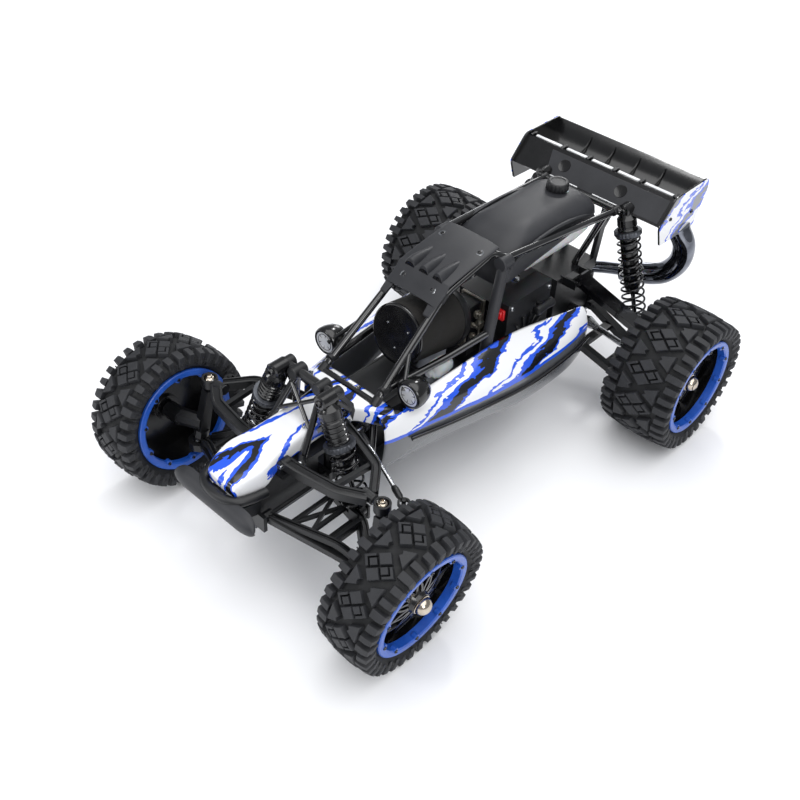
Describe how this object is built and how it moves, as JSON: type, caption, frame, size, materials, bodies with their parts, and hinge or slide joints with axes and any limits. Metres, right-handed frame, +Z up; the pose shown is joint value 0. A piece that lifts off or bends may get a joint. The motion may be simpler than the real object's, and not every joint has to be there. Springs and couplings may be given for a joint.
{
  "type": "rc buggy",
  "caption": "Large-scale petrol off-road buggy with working suspension, steering and wheels, a tube cage, a rear wing and a fuel tank.",
  "frame": {"origin": "on the floor under the middle of the buggy's footprint", "axes": "+X towards the nose, +Y towards the vehicle's left, +Z up"},
  "size_m": [0.7516, 0.494, 0.3041],
  "materials": {
    "black_nylon": "moulded, semi-matt",
    "tyre_rubber": "matt",
    "spring_steel": "black gloss",
    "bright_steel": "bright",
    "alloy_plate": "grey anodised",
    "painted_lexan": "gloss",
    "filter_foam": "open foam",
    "white_tank": "translucent",
    "chrome_pipe": "mirror",
    "red_switch": "satin"
  },
  "bodies": {
    "chassis": {"chassis_plate": "alloy_plate", "front_bulkhead": "black_nylon", "front_bumper": "black_nylon", "front_shock_tower": "black_nylon", "body_shell": "painted_lexan", "roll_cage": "black_nylon", "roof_panel": "black_nylon", "lamp_left": "black_nylon", "lamp_right": "black_nylon", "air_filter": "filter_foam", "radio_box": "black_nylon", "engine": "black_nylon", "fuel_tank": "white_tank", "rear_bulkhead": "black_nylon", "rear_wing": "black_nylon", "exhaust_pipe": "chrome_pipe"},
    "crank_left": {"steering_crank_left": "black_nylon"},
    "crank_right": {"steering_crank_right": "black_nylon"},
    "link": {"steering_link": "black_nylon"},
    "front_arm_left": {"front_lower_arm_left": "black_nylon"},
    "front_ball_left": {"front_lower_ball_left": "bright_steel"},
    "front_carrier_left": {"front_upright_left": "black_nylon"},
    "front_wheel_left": {"tyre_front_left": "tyre_rubber", "rim_front_left": "black_nylon"},
    "front_top_arm_left": {"front_upper_arm_left": "black_nylon"},
    "tie_left": {"tie_rod_left": "bright_steel"},
    "front_damper_left": {"shock_body_front_left": "black_nylon", "spring_front_left": "spring_steel"},
    "front_plunger_left": {"shock_rod_front_left": "bright_steel"},
    "rear_arm_left": {"rear_lower_arm_left": "black_nylon"},
    "rear_carrier_left": {"rear_upright_left": "black_nylon"},
    "rear_wheel_left": {"tyre_rear_left": "tyre_rubber", "rim_rear_left": "black_nylon"},
    "rear_link_left": {"rear_upper_link_left": "black_nylon"},
    "shaft_left": {"drive_shaft_left": "bright_steel"},
    "rear_damper_left": {"shock_body_rear_left": "black_nylon", "spring_rear_left": "spring_steel"},
    "rear_plunger_left": {"shock_rod_rear_left": "bright_steel"},
    "front_arm_right": {"front_lower_arm_right": "black_nylon"},
    "front_ball_right": {"front_lower_ball_right": "bright_steel"},
    "front_carrier_right": {"front_upright_right": "black_nylon"},
    "front_wheel_right": {"tyre_front_right": "tyre_rubber", "rim_front_right": "black_nylon"},
    "front_top_arm_right": {"front_upper_arm_right": "black_nylon"},
    "tie_right": {"tie_rod_right": "bright_steel"},
    "front_damper_right": {"shock_body_front_right": "black_nylon", "spring_front_right": "spring_steel"},
    "front_plunger_right": {"shock_rod_front_right": "bright_steel"},
    "rear_arm_right": {"rear_lower_arm_right": "black_nylon"},
    "rear_carrier_right": {"rear_upright_right": "black_nylon"},
    "rear_wheel_right": {"tyre_rear_right": "tyre_rubber", "rim_rear_right": "black_nylon"},
    "rear_link_right": {"rear_upper_link_right": "black_nylon"},
    "shaft_right": {"drive_shaft_right": "bright_steel"},
    "rear_damper_right": {"shock_body_rear_right": "black_nylon", "spring_rear_right": "spring_steel"},
    "rear_plunger_right": {"shock_rod_rear_right": "bright_steel"},
    "grip": {"starter_handle": "black_nylon"},
    "switch": {"kill_switch": "red_switch"},
    "cap": {"fuel_cap": "black_nylon"}
  },
  "joints": [
    {"name": "steering", "type": "hinge", "parent": "chassis", "child": "crank_left", "pos_m": [0.20922, 0.024, 0.14463], "axis": [0, 0, 1], "range_deg": [-25, 25]},
    {"name": "steering_right_crank", "type": "hinge", "parent": "chassis", "child": "crank_right", "pos_m": [0.20922, -0.024, 0.14463], "axis": [0, 0, 1], "range_deg": [-28, 28]},
    {"name": "steering_link_pivot", "type": "hinge", "parent": "crank_left", "child": "link", "pos_m": [0.17322, 0.024, 0.15413], "axis": [0, 0, 1], "range_deg": [-28, 28]},
    {"name": "front_suspension_left", "type": "hinge", "parent": "chassis", "child": "front_arm_left", "pos_m": [0.23222, 0.032, 0.10613], "axis": [1, 0, 0], "range_deg": [-3, 20], "stiffness_Nm_per_rad": 26, "springref_deg": -8.59},
    {"name": "front_ball_pivot_left", "type": "hinge", "parent": "front_arm_left", "child": "front_ball_left", "pos_m": [0.26522, 0.148, 0.06413], "axis": [1, 0, 0], "range_deg": [-14, 3]},
    {"name": "front_upper_arm_pivot_left", "type": "hinge", "parent": "chassis", "child": "front_top_arm_left", "pos_m": [0.28322, 0.03, 0.16513], "axis": [1, 0, 0], "range_deg": [-4, 22]},
    {"name": "front_shock_pivot_left", "type": "hinge", "parent": "chassis", "child": "front_damper_left", "pos_m": [0.23022, 0.037, 0.22613], "axis": [1, 0, 0], "range_deg": [-1, 4]},
    {"name": "front_shock_stroke_left", "type": "slide", "parent": "front_damper_left", "child": "front_plunger_left", "axis": [0, -0.3826, 0.9239], "range_m": [-0.004, 0.02], "deforming": ["spring_front_left"]},
    {"name": "front_steer_left", "type": "hinge", "parent": "front_ball_left", "child": "front_carrier_left", "pos_m": [0.26522, 0.148, 0.06413], "axis": [-0.183, -0.0861, 0.9793], "range_deg": [-28, 28]},
    {"name": "front_wheel_spin_left", "type": "hinge", "parent": "front_carrier_left", "child": "front_wheel_left", "pos_m": [0.27222, 0.1935, 0.09213], "axis": [0, 0.9945, -0.1045], "continuous": true},
    {"name": "tie_rod_pivot_left", "type": "hinge", "parent": "link", "child": "tie_left", "pos_m": [0.18192, 0.04, 0.15413], "axis": [1, 0, 0], "range_deg": [-4, 24]},
    {"name": "rear_suspension_left", "type": "hinge", "parent": "chassis", "child": "rear_arm_left", "pos_m": [-0.19978, 0.042, 0.10213], "axis": [1, 0, 0], "range_deg": [-3, 18], "stiffness_Nm_per_rad": 32, "springref_deg": -8.59},
    {"name": "rear_carrier_pivot_left", "type": "hinge", "parent": "rear_arm_left", "child": "rear_carrier_left", "pos_m": [-0.23778, 0.16, 0.06013], "axis": [1, 0, 0], "range_deg": [-19, 4]},
    {"name": "rear_upper_link_pivot_left", "type": "hinge", "parent": "chassis", "child": "rear_link_left", "pos_m": [-0.22878, 0.046, 0.16813], "axis": [1, 0, 0], "range_deg": [-4, 20]},
    {"name": "drive_shaft_pivot_left", "type": "hinge", "parent": "chassis", "child": "shaft_left", "pos_m": [-0.23778, 0.05, 0.10413], "axis": [1, 0, 0], "range_deg": [-5, 24]},
    {"name": "rear_shock_pivot_left", "type": "hinge", "parent": "chassis", "child": "rear_damper_left", "pos_m": [-0.27278, 0.066, 0.26413], "axis": [1, 0, 0], "range_deg": [-1, 3]},
    {"name": "rear_shock_stroke_left", "type": "slide", "parent": "rear_damper_left", "child": "rear_plunger_left", "axis": [0, -0.2989, 0.9543], "range_m": [-0.005, 0.025], "deforming": ["spring_rear_left"]},
    {"name": "rear_wheel_spin_left", "type": "hinge", "parent": "rear_carrier_left", "child": "rear_wheel_left", "pos_m": [-0.23778, 0.197, 0.09213], "axis": [0, 1, 0], "continuous": true},
    {"name": "front_suspension_right", "type": "hinge", "parent": "chassis", "child": "front_arm_right", "pos_m": [0.23222, -0.032, 0.10613], "axis": [-1, 0, 0], "range_deg": [-3, 20], "stiffness_Nm_per_rad": 26, "springref_deg": -8.59},
    {"name": "front_ball_pivot_right", "type": "hinge", "parent": "front_arm_right", "child": "front_ball_right", "pos_m": [0.26522, -0.148, 0.06413], "axis": [-1, 0, 0], "range_deg": [-14, 3]},
    {"name": "front_upper_arm_pivot_right", "type": "hinge", "parent": "chassis", "child": "front_top_arm_right", "pos_m": [0.28322, -0.03, 0.16513], "axis": [-1, 0, 0], "range_deg": [-4, 22]},
    {"name": "front_shock_pivot_right", "type": "hinge", "parent": "chassis", "child": "front_damper_right", "pos_m": [0.23022, -0.037, 0.22613], "axis": [-1, 0, 0], "range_deg": [-1, 4]},
    {"name": "front_shock_stroke_right", "type": "slide", "parent": "front_damper_right", "child": "front_plunger_right", "axis": [0, 0.3826, 0.9239], "range_m": [-0.004, 0.02], "deforming": ["spring_front_right"]},
    {"name": "front_steer_right", "type": "hinge", "parent": "front_ball_right", "child": "front_carrier_right", "pos_m": [0.26522, -0.148, 0.06413], "axis": [-0.183, 0.0861, 0.9793], "range_deg": [-28, 28]},
    {"name": "front_wheel_spin_right", "type": "hinge", "parent": "front_carrier_right", "child": "front_wheel_right", "pos_m": [0.27222, -0.1935, 0.09213], "axis": [0, -0.9945, -0.1045], "continuous": true},
    {"name": "tie_rod_pivot_right", "type": "hinge", "parent": "link", "child": "tie_right", "pos_m": [0.18192, -0.04, 0.15413], "axis": [-1, 0, 0], "range_deg": [-4, 24]},
    {"name": "rear_suspension_right", "type": "hinge", "parent": "chassis", "child": "rear_arm_right", "pos_m": [-0.19978, -0.042, 0.10213], "axis": [-1, 0, 0], "range_deg": [-3, 18], "stiffness_Nm_per_rad": 32, "springref_deg": -8.59},
    {"name": "rear_carrier_pivot_right", "type": "hinge", "parent": "rear_arm_right", "child": "rear_carrier_right", "pos_m": [-0.23778, -0.16, 0.06013], "axis": [-1, 0, 0], "range_deg": [-19, 4]},
    {"name": "rear_upper_link_pivot_right", "type": "hinge", "parent": "chassis", "child": "rear_link_right", "pos_m": [-0.22878, -0.046, 0.16813], "axis": [-1, 0, 0], "range_deg": [-4, 20]},
    {"name": "drive_shaft_pivot_right", "type": "hinge", "parent": "chassis", "child": "shaft_right", "pos_m": [-0.23778, -0.05, 0.10413], "axis": [-1, 0, 0], "range_deg": [-5, 24]},
    {"name": "rear_shock_pivot_right", "type": "hinge", "parent": "chassis", "child": "rear_damper_right", "pos_m": [-0.27278, -0.066, 0.26413], "axis": [-1, 0, 0], "range_deg": [-1, 3]},
    {"name": "rear_shock_stroke_right", "type": "slide", "parent": "rear_damper_right", "child": "rear_plunger_right", "axis": [0, 0.2989, 0.9543], "range_m": [-0.005, 0.025], "deforming": ["spring_rear_right"]},
    {"name": "rear_wheel_spin_right", "type": "hinge", "parent": "rear_carrier_right", "child": "rear_wheel_right", "pos_m": [-0.23778, -0.197, 0.09213], "axis": [0, -1, 0], "continuous": true},
    {"name": "starter_pull", "type": "slide", "parent": "chassis", "child": "grip", "axis": [0, 1, 0], "range_m": [0, 0.06], "stiffness_N_per_m": 25, "springref_m": -0.01},
    {"name": "kill_switch_press", "type": "slide", "parent": "chassis", "child": "switch", "axis": [-1, 0, 0], "range_m": [0, 0.003], "stiffness_N_per_m": 300, "springref_m": -0.001},
    {"name": "fuel_cap_lift", "type": "slide", "parent": "chassis", "child": "cap", "axis": [0, 0, 1], "range_m": [0, 0.03]}
  ],
  "couplings": [
    {"joint": "steering_right_crank", "follows": "steering", "ratio": 1},
    {"joint": "steering_link_pivot", "follows": "steering", "ratio": -1},
    {"joint": "front_ball_pivot_left", "follows": "front_suspension_left", "ratio": -0.6452},
    {"joint": "front_upper_arm_pivot_left", "follows": "front_suspension_left", "ratio": 1.0557},
    {"joint": "front_shock_pivot_left", "follows": "front_suspension_left", "ratio": 0.1759},
    {"joint": "front_shock_stroke_left", "follows": "front_suspension_left", "m_per_rad": 0.05309},
    {"joint": "front_steer_left", "follows": "steering", "ratio": 1},
    {"joint": "tie_rod_pivot_left", "follows": "front_suspension_left", "ratio": 1.1379},
    {"joint": "rear_carrier_pivot_left", "follows": "rear_suspension_left", "ratio": -0.9827},
    {"joint": "rear_upper_link_pivot_left", "follows": "rear_suspension_left", "ratio": 1.0345},
    {"joint": "drive_shaft_pivot_left", "follows": "rear_suspension_left", "ratio": 1.1655},
    {"joint": "rear_shock_pivot_left", "follows": "rear_suspension_left", "ratio": 0.1083},
    {"joint": "rear_shock_stroke_left", "follows": "rear_suspension_left", "m_per_rad": 0.07306},
    {"joint": "front_ball_pivot_right", "follows": "front_suspension_right", "ratio": -0.6452},
    {"joint": "front_upper_arm_pivot_right", "follows": "front_suspension_right", "ratio": 1.0557},
    {"joint": "front_shock_pivot_right", "follows": "front_suspension_right", "ratio": 0.1759},
    {"joint": "front_shock_stroke_right", "follows": "front_suspension_right", "m_per_rad": 0.05309},
    {"joint": "front_steer_right", "follows": "steering", "ratio": 1},
    {"joint": "tie_rod_pivot_right", "follows": "front_suspension_right", "ratio": 1.1379},
    {"joint": "rear_carrier_pivot_right", "follows": "rear_suspension_right", "ratio": -0.9827},
    {"joint": "rear_upper_link_pivot_right", "follows": "rear_suspension_right", "ratio": 1.0345},
    {"joint": "drive_shaft_pivot_right", "follows": "rear_suspension_right", "ratio": 1.1655},
    {"joint": "rear_shock_pivot_right", "follows": "rear_suspension_right", "ratio": 0.1083},
    {"joint": "rear_shock_stroke_right", "follows": "rear_suspension_right", "m_per_rad": 0.07306}
  ]
}
